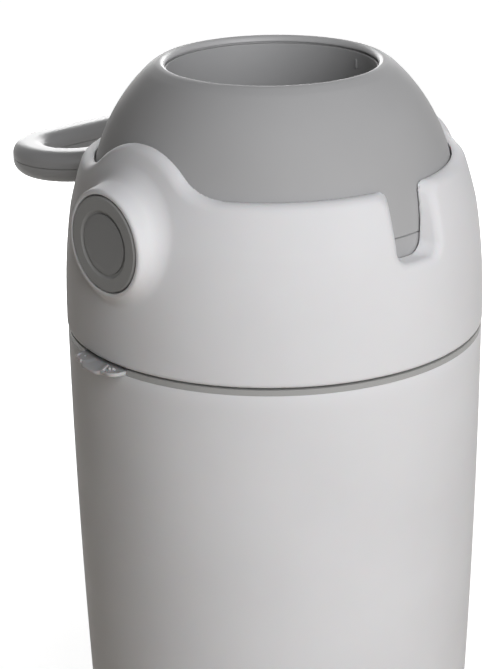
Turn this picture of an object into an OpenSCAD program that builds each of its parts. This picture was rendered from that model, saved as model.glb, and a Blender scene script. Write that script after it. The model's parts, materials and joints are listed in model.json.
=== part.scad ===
// Nappy bin with a flip-over drum.
// Origin: on the bin's axis, on the floor. +Z is up, the drum's pivot lies along X,
// the handle points to +Y (the rear) and the front notch is at -Y.

/* [Overall] */
// Height of the seam between the tub and the head above the floor
seam_z = 390; // [340:1:450]
// Height of the drum's pivot axis above the seam
pivot_rise = 80.5; // [78:0.5:86]
// Gap round pieces that lift off or slide freely
free_gap = 0.3; // [0.25:0.05:0.4]
// Radial clearance of a shaft that turns in its bush
running_gap = 0.06; // [0.03:0.01:0.09]
// Radius of the small assembly screws' shanks
screw_r = 1.5; // [1.2:0.1:1.8]

/* [Tub] */
// Outer radius of the tub at its top
tub_top_r = 139.2; // [138:0.1:140]
// Outer radius of the tub at the floor
tub_foot_r = 127.7; // [120:0.5:132]
// Thickness of the tub's wall
tub_wall = 2.6; // [2:0.1:3]
// Thickness of the tub's floor
tub_floor = 4; // [3:0.5:6]
// Radius of the rounded edge round the tub's foot
foot_edge_r = 9; // [6:0.5:14]
// Depth of the round groove moulded in the underside
foot_groove_depth = 1.5; // [1:0.1:2]

/* [Rim ring] */
// Height of the grey band that shows under the seam
band_h = 3.7; // [3.4:0.1:4.5]
// Open gap between the head's lower edge and the band
seam_gap = 1.3; // [1:0.1:1.6]
// Thickness of the ring's upright walls
ring_wall = 3; // [2.4:0.1:3]
// Height that the ring's upstand reaches above the seam
upstand_h = 6; // [6:0.1:6.4]
// Depth of the ring's skirt inside the tub
skirt_depth = 14; // [13:0.5:20]

/* [Bag ring] */
// Width of the ring that holds the bag
bag_ring_w = 14; // [12:0.5:20]
// Height of the bag ring
bag_ring_h = 6; // [4:0.5:6]
// Depth of the bag ring's skirt
bag_skirt_depth = 8; // [6:1:30]

/* [Head] */
// How far the head's lower edge stands past the tub's top
head_proud = 0.4; // [0.2:0.1:1.2]
// How much slimmer the head is at the pivot than at the seam
head_taper = 5.6; // [4.5:0.1:7]
// How much slimmer the dome ends up than the head at the pivot
dome_draw = 9; // [7.5:0.5:9.5]
// Thickness of the head's wall
head_wall = 3; // [2.4:0.1:3.4]
// Gap between the head's rim and the drum
drum_gap = 1; // [0.6:0.1:1.4]
// Height of the low rim, front and back, above the pivot
rim_rise = 32; // [30:0.5:34]
// Radius of the raised rim round each pivot
hill_r = 57; // [54:0.5:58]
// Radius of the hollow curve between the low rim and the raised rim
hill_blend_r = 45; // [30:1:60]
// Half width of the handle's notch where it meets the drum
notch_half_w = 12.6; // [11.6:0.1:13.2]
// Half width of the handle's notch at the outer wall
notch_flare_w = 19; // [17:0.5:24]
// Depth of the notch below the pivot
notch_drop = 12.7; // [12:0.1:14]
// Radius of the notch's lower corners
notch_corner_r = 8; // [5:0.5:9]
// How far each pivot boss's face stands out from the head
boss_proud = 9.3; // [9:0.1:10]
// Radius of the flat face of each pivot boss
boss_face_r = 34.5; // [33.5:0.5:36]
// Height of the liner's flange above the seam
liner_rise = 9; // [9:0.1:9.6]
// Thickness of the liner
liner_wall = 2.5; // [2:0.1:3]

/* [Drum] */
// Depth of the drum's ball inside the head's outside at the pivot
drum_inset = 14; // [13.8:0.1:15]
// Thickness of the drum's shells
drum_wall = 2.8; // [2.2:0.1:3]
// How far each mouth's edge lies inside the ball's own radius
mouth_drop = 27.1; // [26:0.1:29]
// Width of the mouth's rounded lip
lip_w = 6.6; // [6.4:0.1:6.8]
// Step from the lip in to the drum's tube
lip_step = 0.9; // [0.6:0.1:3]
// Thickness of the tube's wall
tube_wall = 2.5; // [2:0.1:2.5]
// Distance of the stop nubs' inner faces from the mouth's edge
stop_inset = 16.9; // [15:0.1:22]
// How far the stop nubs reach into the tube
stop_depth = 2.5; // [2:0.1:3]

/* [Piston] */
// Height of the piston over both its end caps
piston_h = 70; // [56:1:80]
// Thickness of the piston's skirt
piston_wall = 2.5; // [2:0.1:3.5]
// Rise of the shallow dome on each end cap
cap_crown = 4; // [2:0.5:6]

/* [Pivots] */
// Radius of each hub's shaft
shaft_r = 14; // [12:0.5:15]
// Radius of each hub's round plate
hub_r = 30.7; // [29.5:0.1:31.5]
// Thickness of each hub's round plate
hub_plate_t = 3.5; // [3.2:0.1:3.6]
// Open gap round each hub's plate
hub_gap = 1.3; // [1:0.1:1.8]
// Radius of the cap in the middle of each hub
cap_r = 19.4; // [18.4:0.1:20.5]
// Thickness of the cap in the middle of each hub
cap_t = 1.6; // [1.4:0.1:1.8]
// Thickness of each bush's wall
bush_wall = 3; // [2:0.1:3.5]

/* [Handle] */
// Gap between the grip and the head when the drum is turned over
grip_clear = 3.5; // [3:0.5:5]
// Distance between the grip's near and far bars
grip_reach = 61.5; // [56:0.5:75]
// Half length of the grip's straight bars
grip_half_l = 28; // [20:1:34]
// Width of the grip's section
grip_w = 24; // [20:0.5:24]
// Height of the grip's section
grip_h = 22; // [19:0.5:22]
// Radius of the grip section's rounded edges
grip_edge_r = 9; // [6:0.5:9]
// Thickness of the grip's shell
grip_wall = 2.5; // [2:0.1:3]
// Half width of the neck that enters the drum
neck_half_w = 10.8; // [9.5:0.1:11]

/* [Latches] */
// Half width of each latch
latch_half_w = 23.5; // [23:0.5:26]
// Angle of each latch behind the pivot's axis
latch_turn = 5; // [0:0.5:12]
// How far each latch's side lobes stand out from the tub
latch_lobe_proud = 9.8; // [8:0.1:10.5]
// How far each latch's thumb paddle stands out from the tub
latch_paddle_proud = 11.3; // [10.6:0.1:12.5]
// Half width of each latch's thumb paddle
paddle_half_w = 12.2; // [9:0.1:14]
// Radius of each latch's pin
latch_pin_r = 1.5; // [1.2:0.1:1.6]

/* [Hidden] */
$fn = 128;

WHITE = [0.87, 0.87, 0.86];
PALE_GREY = [0.62, 0.62, 0.61];
DRUM_GREY = [0.55, 0.55, 0.54];
DARK_GREY = [0.38, 0.39, 0.38];
FROSTED = [0.80, 0.80, 0.79];
RUBBER = [0.16, 0.16, 0.16];
STEEL = [0.70, 0.70, 0.72];
LEFT = -1;
RIGHT = 1;
UP = 1;
DOWN = -1;
eps = 0.01;
far = 400;

pivot_z = seam_z + pivot_rise;
band_top_z = seam_z - seam_gap;
tub_h = band_top_z - band_h;

// Radii that follow the tub's top
head_r = tub_top_r + head_proud;
head_waist_r = head_r - head_taper;
dome_r = head_waist_r - dome_draw;
boss_x = head_waist_r + boss_proud;
drum_r = head_waist_r - drum_inset;
mouth_z = drum_r - mouth_drop;
lip_r = sqrt(drum_r * drum_r - mouth_z * mouth_z) - lip_w;
tube_r = lip_r - lip_step;
stop_z = mouth_z - stop_inset;
grip_near_y = head_waist_r + grip_clear + grip_w / 2;
grip_far_y = grip_near_y + grip_reach;
latch_lobe_r = tub_top_r + latch_lobe_proud;
latch_paddle_r = tub_top_r + latch_paddle_proud;

// Rim ring and what sits in it
band_inset = 0.2;
ring_outer_r = tub_top_r - band_inset;
head_inner_r = head_r - head_wall;
upstand_clear = 2.1;
upstand_outer_r = head_inner_r - upstand_clear;
upstand_inner_r = upstand_outer_r - ring_wall;
skirt_outer_r = tub_top_r - tub_wall - free_gap;
skirt_inner_r = skirt_outer_r - ring_wall;
skirt_bottom_z = seam_z - skirt_depth;
ledge_w = 9.5;
ledge_inner_r = upstand_inner_r - ledge_w;
ledge_t = 1.7;
ledge_top_z = skirt_bottom_z + ledge_t;
seal_h = liner_rise - upstand_h - free_gap;
bag_ring_z = ledge_top_z + free_gap;
bag_ring_wall = 3;

// Latches: the pin's axis lies inside the ring, below the seam
pin_inset = 0.4;
latch_pin_x = upstand_inner_r + pin_inset;
pin_drop = 5.2;
latch_pin_z = seam_z - pin_drop;
barrel_wall = 1.7;
barrel_r = latch_pin_r + barrel_wall;
lobe_drop = 0.2;
lobe_top_z = band_top_z - lobe_drop;
lobe_bottom_z = tub_h + free_gap;
window_depth = 9;
window_bottom_z = seam_z - window_depth;
paddle_depth = 5.8;
lobe_corner_r = 6;
paddle_corner_r = 6;
paddle_root = 2.5;
paddle_slot = 0.8;
ear_gap = 0.5;
paddle_bottom_z = seam_z - paddle_depth;
latch_side_gap = 0.6;
hook_half_w = 10;
hook_inset = 2.9;
hook_x = upstand_inner_r - hook_inset;
hook_t = 2.2;
hook_arm_t = 2;
hook_swing = 2.5;
hook_top_gap = 0.4;
hook_top_z = seam_z + upstand_h - hook_top_gap;
hook_far_x = upstand_outer_r - hook_t;
bag_ring_outer_r = hook_x - hook_swing;
bag_ring_inner_r = bag_ring_outer_r - bag_ring_w;
lug_half_w = 20;
lug_t = 3;
pin_half_l = lug_half_w + lug_t;

// Head
dome_falloff = 16.3;
wall_power = 2.4;
wall_steps = 12;
dome_steps = 9;
dome_top_angle = 36;
drum_space_r = drum_r + drum_gap;
lip_under_z = rim_rise - 8;
notch_block_half_w = notch_flare_w + 4;
notch_block_drop = notch_drop + 3.3;
notch_flare_y = head_waist_r + 2;
hill_blend_y = sqrt(pow(hill_r + hill_blend_r, 2) - pow(rim_rise + hill_blend_r, 2));
pivot_solid_r = 26;
boss_spread = 18;
boss_depth = 34;
screw_count = 6;
screw_ring_r = head_inner_r - 7.6;
screw_boss_r = screw_r + 2.7;
screw_boss_h = 24;
screw_head_r = screw_r * 2.2;
screw_head_t = 2;
seal_drop = 30;
seal_bottom_z = -seal_drop;
drum_seal_h = 5;
collar_inner_r = drum_r + 2.5;
collar_outer_r = collar_inner_r + liner_wall;
collar_foot_z = liner_rise - pivot_rise;
collar_foot_r = sqrt(pow(collar_outer_r, 2) - pow(collar_foot_z, 2));

// Pivots, as distances along X from the bin's axis
hub_face_x = boss_x + 0.5;
hub_back_x = hub_face_x - hub_plate_t;
bush_flange_t = 1.5;
bush_flange_r = shaft_r + bush_wall + 4;
pocket_x = hub_back_x - free_gap - bush_flange_t;
bush_inner_x = drum_space_r + 1;
bush_outer_r = shaft_r + running_gap + bush_wall;
block_inset = 8;
block_l = 28;
block_outer_x = drum_r - block_inset;
block_inner_x = block_outer_x - block_l;
block_half_w = 22;
block_half_h = 18;
socket_depth = 8;
shaft_end_x = block_outer_x - socket_depth;
fit_gap = 0.1;
hub_screw_r = 2.5;
hub_screw_head_r = 5;
hub_screw_head_t = 3.5;
hub_screw_tip_x = block_inner_x + 4;
cap_recess = 0.2;
cap_dish_w = 2.9;
cap_dish_depth = 1;
cap_floor_x = hub_face_x - cap_recess - cap_t;

// Drum
shell_inner_r = drum_r - drum_wall;
tube_outer_r = tube_r + tube_wall;
tube_half_l = mouth_z - 3.8;
stop_h = 8;
stop_half_w = 2;
stop_turn = -8;
seat_gap = 0.2;
mouth_skirt_r = tube_outer_r + seat_gap;
mouth_skirt_t = 2.4;
mouth_skirt_z = mouth_z - 11;
shoulder_z = mouth_z - 4;
shoulder_r = sqrt(drum_r * drum_r - shoulder_z * shoulder_z);
joint_ring_h = 4;
joint_ring_t = 2.5;

// Piston: it rests on the lower stop nubs
piston_r = tube_r - free_gap;
piston_foot_z = -stop_z + free_gap;
piston_travel = 2 * stop_z - piston_h - 2 * free_gap;
piston_cap_t = 2.5;
piston_body_h = piston_h - 2 * (cap_crown + piston_cap_t);
piston_body_z = piston_foot_z + cap_crown + piston_cap_t;
seal_groove_h = 5;
seal_groove_depth = 1.5;
seal_groove_inset = 6;
piston_web_t = 2.5;

// Handle
grip_mid_y = (grip_far_y + grip_near_y) / 2;
grip_turn_r = (grip_far_y - grip_near_y) / 2;
neck_half_h = grip_h / 2;
neck_depth = 9;
neck_root_y = shell_inner_r - neck_depth;
slot_root_y = neck_root_y - neck_depth;
neck_flange_half_w = neck_half_w + 6;
neck_flange_half_h = neck_half_h + 5;
neck_flare = 10;
handle_screw_places = [[-grip_half_l, grip_far_y], [grip_half_l, grip_far_y], [0, grip_near_y]];
pillar_r = screw_r + 3;
screw_head_depth = 4;

// ---------- shared curves ----------

// Radius of the tub's outside at height z
function tub_r_at(z) = tub_top_r - (tub_top_r - tub_foot_r) * pow((tub_h - z) / tub_h, 2);

// Radius of the head's outside at height z above the seam, up to the pivot
function head_r_at(z) = head_r - (head_r - head_waist_r) * pow(z / pivot_rise, wall_power);

// Distance of the dome's outside from the pivot at an elevation in degrees
function dome_reach(angle) = dome_r + (head_waist_r - dome_r) * exp(-angle / dome_falloff);

function wall_points(inset) = [
    for (i = [0:wall_steps])
        let (z = pivot_rise * i / wall_steps)
        [head_r_at(z) - inset, z - pivot_rise]
];

function dome_points(inset, top_angle) = [
    for (i = [1:dome_steps])
        let (a = top_angle * i / dome_steps, d = dome_reach(a) - inset)
        [d * cos(a), d * sin(a)]
];

// A ring with a rectangular section between two radii and two heights
module ring(inner_r, outer_r, z0, z1) {
    translate([0, 0, z0])
        difference() {
            cylinder(r = outer_r, h = z1 - z0);
            translate([0, 0, -1])
                cylinder(r = inner_r, h = z1 - z0 + 2);
        }
}

// A cylinder along X on one side of the bin, between two distances from the axis
module x_rod(side, x0, x1, r) {
    rotate([0, side * 90, 0])
        translate([0, 0, x0])
            cylinder(r = r, h = x1 - x0);
}

// A box given by its lowest and highest corners
module span(low, high) {
    translate(low)
        cube(high - low);
}

// A box on one side of the bin, between two distances along X
module side_span(side, x0, x1, half_w, z0, z1) {
    mirror([side < 0 ? 1 : 0, 0, 0])
        span([x0, -half_w, z0], [x1, half_w, z1]);
}

// A small screw that points up, its head's underside at z = 0
module screw_up(length) {
    translate([0, 0, -screw_head_t])
        cylinder(r = screw_head_r, h = screw_head_t);
    cylinder(r = screw_r, h = length);
}

// ---------- tub ----------

// The tub's section at an inset from its outside. It runs on straight up to top_z.
module tub_outline(inset, floor_z, top_z) {
    edge_steps = 6;
    wall_tiers = 14;
    edge_x = tub_r_at(foot_edge_r) - foot_edge_r;
    round_r = foot_edge_r - inset;
    polygon(concat(
        [[0, floor_z]],
        [for (i = [0:edge_steps])
            let (a = 90 * i / edge_steps)
            [edge_x + round_r * sin(a), max(floor_z, foot_edge_r - round_r * cos(a))]],
        [for (i = [1:wall_tiers])
            let (z = foot_edge_r + (tub_h - foot_edge_r) * i / wall_tiers)
            [tub_r_at(z) - inset, z]],
        [[tub_top_r - inset, top_z], [0, top_z]]
    ));
}

module tub_shell() {
    groove_inner_r = 60;
    groove_outer_r = tub_foot_r - foot_edge_r - 12;
    color(WHITE)
        difference() {
            rotate_extrude()
                tub_outline(0, 0, tub_h);
            rotate_extrude()
                tub_outline(tub_wall, tub_floor, tub_h + 1);
            ring(groove_inner_r, groove_outer_r, -1, foot_groove_depth);
        }
}

module tub_rim_ring() {
    color(PALE_GREY) {
        difference() {
            rotate_extrude()
                polygon([
                    [ledge_inner_r, skirt_bottom_z], [skirt_outer_r, skirt_bottom_z],
                    [skirt_outer_r, tub_h], [ring_outer_r, tub_h], [ring_outer_r, band_top_z],
                    [upstand_outer_r, band_top_z], [upstand_outer_r, seam_z + upstand_h],
                    [upstand_inner_r, seam_z + upstand_h], [upstand_inner_r, tub_h - ledge_t],
                    [skirt_inner_r, tub_h - ledge_t], [skirt_inner_r, ledge_top_z],
                    [ledge_inner_r, ledge_top_z]
                ]);
            for (side = [LEFT, RIGHT])
                at_latch(side) {
                    side_span(RIGHT, latch_pin_x - barrel_r - 1, far, latch_half_w + latch_side_gap,
                        window_bottom_z, band_top_z + 1);
                    side_span(RIGHT, hook_x - 1, far, hook_half_w + 2,
                        window_bottom_z, seam_z + upstand_h + 1);
                }
        }
        for (side = [LEFT, RIGHT], end = [-1, 1])
            at_latch(side)
                latch_ear(end);
    }
}

// Turns what is drawn on +X to where a latch stands
module at_latch(side) {
    mirror([side < 0 ? 1 : 0, 0, 0])
        rotate(latch_turn)
            children();
}

// A cylinder along a latch's pin
module pin_rod(r, half_l) {
    translate([latch_pin_x, 0, latch_pin_z])
        rotate([90, 0, 0])
            cylinder(r = r, h = 2 * half_l, center = true);
}

// An ear that hangs from the upstand and carries one end of a latch's pin
module latch_ear(end) {
    y0 = end > 0 ? lug_half_w : -lug_half_w - lug_t;
    difference() {
        intersection() {
            span([upstand_inner_r - 4, y0, latch_pin_z - 3],
                [upstand_outer_r, y0 + lug_t, seam_z + 1]);
            cylinder(r = upstand_outer_r, h = far * 2);
        }
        pin_rod(latch_pin_r, far);
    }
}

module rim_seal() {
    color(RUBBER)
        ring(upstand_inner_r + 0.2, upstand_outer_r - 0.2, seam_z + upstand_h,
            seam_z + upstand_h + seal_h);
}

module latch_pins() {
    color(STEEL)
        for (side = [LEFT, RIGHT])
            at_latch(side)
                pin_rod(latch_pin_r, pin_half_l);
}

module latch(side) {
    outside_r = tub_top_r + free_gap;
    slot_y = paddle_half_w + paddle_slot;
    color(FROSTED)
        at_latch(side)
            difference() {
                union() {
                    // Plate with the side lobes
                    translate([0, 0, lobe_bottom_z])
                        linear_extrude(height = lobe_top_z - lobe_bottom_z)
                            difference() {
                                tab_plan(latch_lobe_r, latch_half_w, lobe_corner_r, latch_pin_x);
                                translate([outside_r + paddle_root, -slot_y])
                                    square([far, 2 * slot_y]);
                            }
                    // Thumb paddle
                    intersection() {
                        rotate([90, 0, 0])
                            linear_extrude(height = 2 * paddle_half_w + 2, center = true)
                                paddle_outline(outside_r);
                        translate([0, 0, paddle_bottom_z - 1])
                            linear_extrude(height = 2 * band_h)
                                tab_plan(latch_paddle_r, paddle_half_w, paddle_corner_r, 0);
                    }
                    pin_rod(barrel_r, lug_half_w - 1);
                    // Hook that stands up inside the head
                    span([hook_x, -hook_half_w, latch_pin_z],
                        [hook_x + hook_t, hook_half_w, hook_top_z]);
                    span([hook_x, -hook_half_w, latch_pin_z - hook_arm_t / 2],
                        [latch_pin_x, hook_half_w, latch_pin_z + hook_arm_t / 2]);
                    span([hook_x, -hook_half_w, hook_top_z - hook_arm_t],
                        [hook_far_x, hook_half_w, hook_top_z]);
                }
                pin_rod(latch_pin_r + running_gap, far);
                // The plate stays clear of the ears
                for (end = [-1, 1])
                    mirror([0, end < 0 ? 1 : 0, 0])
                        span([0, lug_half_w - ear_gap, lobe_bottom_z - 1],
                            [upstand_outer_r + free_gap, far, seam_z + band_h]);
            }
}

// A tab seen from above: an arc about the bin's axis whose outer corners are rounded
module tab_plan(outer_r, half_w, corner_r, inner_x) {
    corner_y = half_w - corner_r;
    corner_x = sqrt(pow(outer_r, 2) - pow(corner_y, 2)) - corner_r;
    intersection() {
        circle(r = outer_r);
        translate([inner_x, -corner_y])
            square([far, 2 * corner_y]);
    }
    translate([inner_x, -half_w])
        square([corner_x - inner_x, 2 * half_w]);
    for (end = [-1, 1])
        translate([corner_x, end * corner_y])
            circle(r = corner_r);
}

// The thumb paddle seen along the seam: its top slopes down to a rounded lip
module paddle_outline(inside_r) {
    lip_t = 1.2;
    polygon([
        [inside_r, lobe_top_z], [latch_paddle_r - 3 * lip_t, lobe_top_z - lip_t],
        [latch_paddle_r - 0.6 * lip_t, lobe_top_z - 1.7 * lip_t],
        [latch_paddle_r, lobe_top_z - 2.3 * lip_t], [latch_paddle_r, paddle_bottom_z + 0.6 * lip_t],
        [latch_paddle_r - 0.8 * lip_t, paddle_bottom_z], [inside_r + lip_t, paddle_bottom_z],
        [inside_r, lobe_bottom_z]
    ]);
}

module bag_ring() {
    color(WHITE) {
        ring(bag_ring_inner_r, bag_ring_outer_r, bag_ring_z, bag_ring_z + bag_ring_wall);
        ring(bag_ring_inner_r, bag_ring_inner_r + bag_ring_wall,
            bag_ring_z - bag_skirt_depth, bag_ring_z + bag_ring_h);
    }
}

// ---------- head ----------

module head_outline() {
    polygon(concat(
        [[0, -pivot_rise]],
        wall_points(0),
        dome_points(0, dome_top_angle),
        [[0, dome_reach(dome_top_angle) * sin(dome_top_angle)]]
    ));
}

module head_hollow_outline() {
    under_angle = asin(lip_under_z / dome_r);
    polygon(concat(
        [[0, -pivot_rise - 1], [head_inner_r, -pivot_rise - 1]],
        wall_points(head_wall),
        dome_points(head_wall, under_angle),
        [[0, (dome_reach(under_angle) - head_wall) * sin(under_angle)]]
    ));
}

// The right half of the rim's line, seen along the pivot: a crown, a hollow curve, then level
function rim_line() =
    let (
        crown_steps = 8,
        hollow_steps = 8,
        meet_angle = atan2(hill_blend_y, rim_rise + hill_blend_r)
    )
    concat(
        [for (i = [0:crown_steps])
            let (a = meet_angle * i / crown_steps)
            [hill_r * sin(a), hill_r * cos(a)]],
        [for (i = [1:hollow_steps])
            let (a = meet_angle * (1 - i / hollow_steps))
            [hill_blend_y - hill_blend_r * sin(a), rim_rise + hill_blend_r * (1 - cos(a))]]
    );

// What stays below the rim, seen along the pivot
module rim_outline() {
    line = rim_line();
    count = len(line);
    polygon(concat(
        [[-far, -far], [-far, rim_rise]],
        [for (i = [count - 1:-1:1]) [-line[i].x, line[i].y]],
        line,
        [[far, rim_rise], [far, -far]]
    ));
}

// A pivot boss: a short round body whose flank widens slowly, then in a hollow curve to its root
module boss_body(side) {
    // Each point's share of the spread and of the depth
    flank = [[0.04, 0.03], [0.09, 0.1], [0.16, 0.24], [0.24, 0.38], [0.38, 0.53],
        [0.55, 0.65], [0.77, 0.79], [1, 1]];
    rotate([0, side * 90, 0])
        rotate_extrude()
            polygon(concat(
                [[0, boss_x - boss_depth], [0, boss_x], [boss_face_r, boss_x]],
                [for (p = flank) [boss_face_r + p.x * boss_spread, boss_x - p.y * boss_depth]]
            ));
}

// One notch, as a slot that widens outwards. Its lower corners are rounded.
module notch(side) {
    inner_y = drum_r - 8;
    mirror([0, side < 0 ? 1 : 0, 0])
        intersection() {
            translate([0, 0, -notch_drop])
                linear_extrude(height = far)
                    polygon([
                        [-notch_half_w, inner_y], [-notch_half_w, drum_space_r],
                        [-notch_flare_w, notch_flare_y], [-notch_flare_w - 6, far],
                        [notch_flare_w + 6, far], [notch_flare_w, notch_flare_y],
                        [notch_half_w, drum_space_r], [notch_half_w, inner_y]
                    ]);
            rotate([90, 0, 0])
                linear_extrude(height = 2 * far, center = true)
                    union() {
                        translate([-far, notch_corner_r - notch_drop])
                            square([2 * far, far]);
                        translate([-notch_flare_w + notch_corner_r, -notch_drop])
                            square([2 * (notch_flare_w - notch_corner_r), notch_corner_r + 1]);
                        for (s = [-1, 1])
                            translate([s * (notch_flare_w - notch_corner_r), notch_corner_r - notch_drop])
                                circle(r = notch_corner_r);
                    }
        }
}

module head_hollow() {
    difference() {
        rotate_extrude()
            head_hollow_outline();
        // Solid round both notches and both pivots
        span([-notch_block_half_w, -far, -notch_block_drop], [notch_block_half_w, far, far]);
        for (side = [LEFT, RIGHT])
            x_rod(side, bush_inner_x, far, pivot_solid_r);
    }
}

module screw_ring(count, radius) {
    for (i = [0:count - 1])
        rotate(30 + 360 * i / count)
            translate([radius, 0, 0])
                children();
}

// The head's shell about the pivot, before its screw posts
module head_casting() {
    difference() {
        intersection() {
            union() {
                rotate_extrude()
                    head_outline();
                for (side = [LEFT, RIGHT])
                    boss_body(side);
            }
            rotate([90, 0, 90])
                linear_extrude(height = 2 * far, center = true)
                    rim_outline();
        }
        head_hollow();
        sphere(r = drum_space_r);
        notch(UP);
        notch(DOWN);
        for (side = [LEFT, RIGHT]) {
            x_rod(side, pocket_x, far, hub_r + hub_gap);
            x_rod(side, 0, far, bush_outer_r + fit_gap);
        }
    }
}

// A screw post with a fin that joins it to the head's wall
module screw_post() {
    fin_t = 2.4;
    cylinder(r = screw_boss_r, h = screw_boss_h);
    translate([0, -fin_t / 2, 0])
        cube([head_inner_r + 1 - screw_ring_r, fin_t, screw_boss_h]);
}

module head_shell() {
    post_z = liner_rise + liner_wall - pivot_rise;
    color(WHITE)
        translate([0, 0, pivot_z])
            difference() {
                union() {
                    head_casting();
                    screw_ring(screw_count, screw_ring_r)
                        translate([0, 0, post_z])
                            screw_post();
                }
                screw_ring(screw_count, screw_ring_r)
                    translate([0, 0, post_z - 1])
                        cylinder(r = screw_r, h = screw_boss_h - 3);
            }
}

module head_liner() {
    color(PALE_GREY)
        difference() {
            translate([0, 0, pivot_z])
                rotate_extrude()
                    difference() {
                        union() {
                            intersection() {
                                circle(r = collar_outer_r);
                                translate([0, collar_foot_z])
                                    square([far, seal_bottom_z - collar_foot_z]);
                            }
                            translate([collar_foot_r - liner_wall, collar_foot_z])
                                square([head_inner_r - 0.5 - collar_foot_r + liner_wall, liner_wall]);
                        }
                        circle(r = collar_inner_r);
                    }
            screw_ring(screw_count, screw_ring_r)
                translate([0, 0, seam_z])
                    cylinder(r = screw_r + fit_gap, h = liner_rise + liner_wall + 1);
            screw_ring(screw_count, screw_ring_r)
                translate([0, 0, seam_z + liner_rise - 1])
                    cylinder(r = screw_head_r + 0.2, h = 1.5);
        }
}

module liner_screws() {
    color(STEEL)
        screw_ring(screw_count, screw_ring_r)
            translate([0, 0, seam_z + liner_rise + 0.5])
                intersection() {
                    screw_up(screw_boss_h - 6);
                    translate([0, 0, far - 0.5])
                        cube(2 * far, center = true);
                }
}

module drum_seal() {
    color(RUBBER)
        translate([0, 0, pivot_z])
            difference() {
                ring(drum_r - 6, sqrt(pow(collar_outer_r, 2) - pow(seal_bottom_z, 2)),
                    seal_bottom_z, seal_bottom_z + drum_seal_h);
                sphere(r = drum_r + free_gap);
            }
}

module pivot_bush(side) {
    color(DARK_GREY)
        translate([0, 0, pivot_z])
            difference() {
                union() {
                    x_rod(side, bush_inner_x, pocket_x + eps, bush_outer_r);
                    x_rod(side, pocket_x, pocket_x + bush_flange_t, bush_flange_r);
                }
                x_rod(side, 0, far, shaft_r + running_gap);
            }
}

// ---------- drum ----------

// The lower shell's upstand that locates the upper shell. It is open behind, for the handle.
module joint_ring() {
    root_h = 6;
    difference() {
        union() {
            ring(shell_inner_r - joint_ring_t, shell_inner_r - seat_gap, -joint_ring_h, root_h);
            ring(shell_inner_r - joint_ring_t, shell_inner_r + 0.5, root_h / 2, root_h);
        }
        span([-neck_flange_half_w - 1, 0, -far], [neck_flange_half_w + 1, far, far]);
    }
}

module drum_shell(way) {
    top_r = lip_r + 3.8;
    mirror([0, 0, way < 0 ? 1 : 0])
        difference() {
            union() {
                rotate_extrude()
                    union() {
                        difference() {
                            intersection() {
                                circle(r = drum_r);
                                square([far, shoulder_z]);
                            }
                            circle(r = shell_inner_r);
                            square([mouth_skirt_r, far]);
                        }
                        // Rounded lip and the skirt that holds the tube
                        polygon([
                            [mouth_skirt_r, mouth_skirt_z], [mouth_skirt_r, tube_half_l + seat_gap],
                            [lip_r, tube_half_l + seat_gap], [lip_r, mouth_z - 2.7],
                            [lip_r + 1, mouth_z - 1.1], [lip_r + 2.3, mouth_z - 0.2],
                            [top_r, mouth_z], [top_r + 2, mouth_z - 0.5],
                            [top_r + 4.4, mouth_z - 1.9], [shoulder_r, shoulder_z],
                            [shoulder_r - 0.6, shoulder_z - drum_wall],
                            [mouth_skirt_r + mouth_skirt_t, shoulder_z - drum_wall],
                            [mouth_skirt_r + mouth_skirt_t, mouth_skirt_z]
                        ]);
                    }
                // Saddles that clamp the trunnion blocks
                for (side = [LEFT, RIGHT])
                    intersection() {
                        sphere(r = shell_inner_r + 1);
                        side_span(side, block_inner_x, far, block_half_w + 4,
                            block_half_h + fit_gap, block_half_h + 5);
                    }
                if (way < 0)
                    joint_ring();
            }
            for (side = [LEFT, RIGHT]) {
                x_rod(side, block_outer_x - 4, far, shaft_r + seat_gap);
                side_span(side, block_inner_x - 1, shell_inner_r - 1.5, block_half_w + 2,
                    -far, block_half_h + fit_gap);
            }
            // Slot for the handle's neck, behind
            mirror([0, 0, way < 0 ? 1 : 0])
                span([-neck_half_w - seat_gap, slot_root_y, -neck_half_h - seat_gap],
                    [neck_half_w + seat_gap, far, neck_half_h + seat_gap]);
            span([-neck_flange_half_w - 1, slot_root_y, -neck_flange_half_h - 1],
                [neck_flange_half_w + 1, shell_inner_r - 1.5, neck_flange_half_h + 1]);
        }
}

module drum_upper_shell() {
    color(DRUM_GREY)
        translate([0, 0, pivot_z])
            drum_shell(UP);
}

module drum_lower_shell() {
    color(DRUM_GREY)
        translate([0, 0, pivot_z])
            drum_shell(DOWN);
}

module drum_tube() {
    color(DRUM_GREY)
        translate([0, 0, pivot_z]) {
            ring(tube_r, tube_outer_r, -tube_half_l, tube_half_l);
            for (side = [LEFT, RIGHT], way = [UP, DOWN])
                mirror([0, 0, way < 0 ? 1 : 0])
                    rotate(stop_turn)
                        side_span(side, tube_r - stop_depth, tube_r + 1, stop_half_w,
                            stop_z, stop_z + stop_h);
        }
}

module trunnion_block(side) {
    color(DARK_GREY)
        translate([0, 0, pivot_z])
            difference() {
                side_span(side, block_inner_x, block_outer_x, block_half_w, -block_half_h, block_half_h);
                x_rod(side, shaft_end_x - fit_gap, far, shaft_r + fit_gap);
                x_rod(side, hub_screw_tip_x - 2, far, hub_screw_r);
            }
}

module pivot_hub(side) {
    color(DARK_GREY)
        translate([0, 0, pivot_z])
            difference() {
                union() {
                    x_rod(side, hub_back_x, hub_face_x, hub_r);
                    x_rod(side, shaft_end_x, hub_back_x + eps, shaft_r);
                }
                x_rod(side, cap_floor_x, far, cap_r + fit_gap);
                // Shallow dish round the cap
                rotate([0, side * 90, 0])
                    translate([0, 0, hub_face_x - cap_dish_depth])
                        cylinder(r1 = cap_r + fit_gap, r2 = cap_r + cap_dish_w, h = cap_dish_depth + eps);
                x_rod(side, cap_floor_x - hub_screw_head_t - 1, far, hub_screw_head_r + 0.5);
                x_rod(side, 0, far, hub_screw_r + fit_gap);
            }
}

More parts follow.
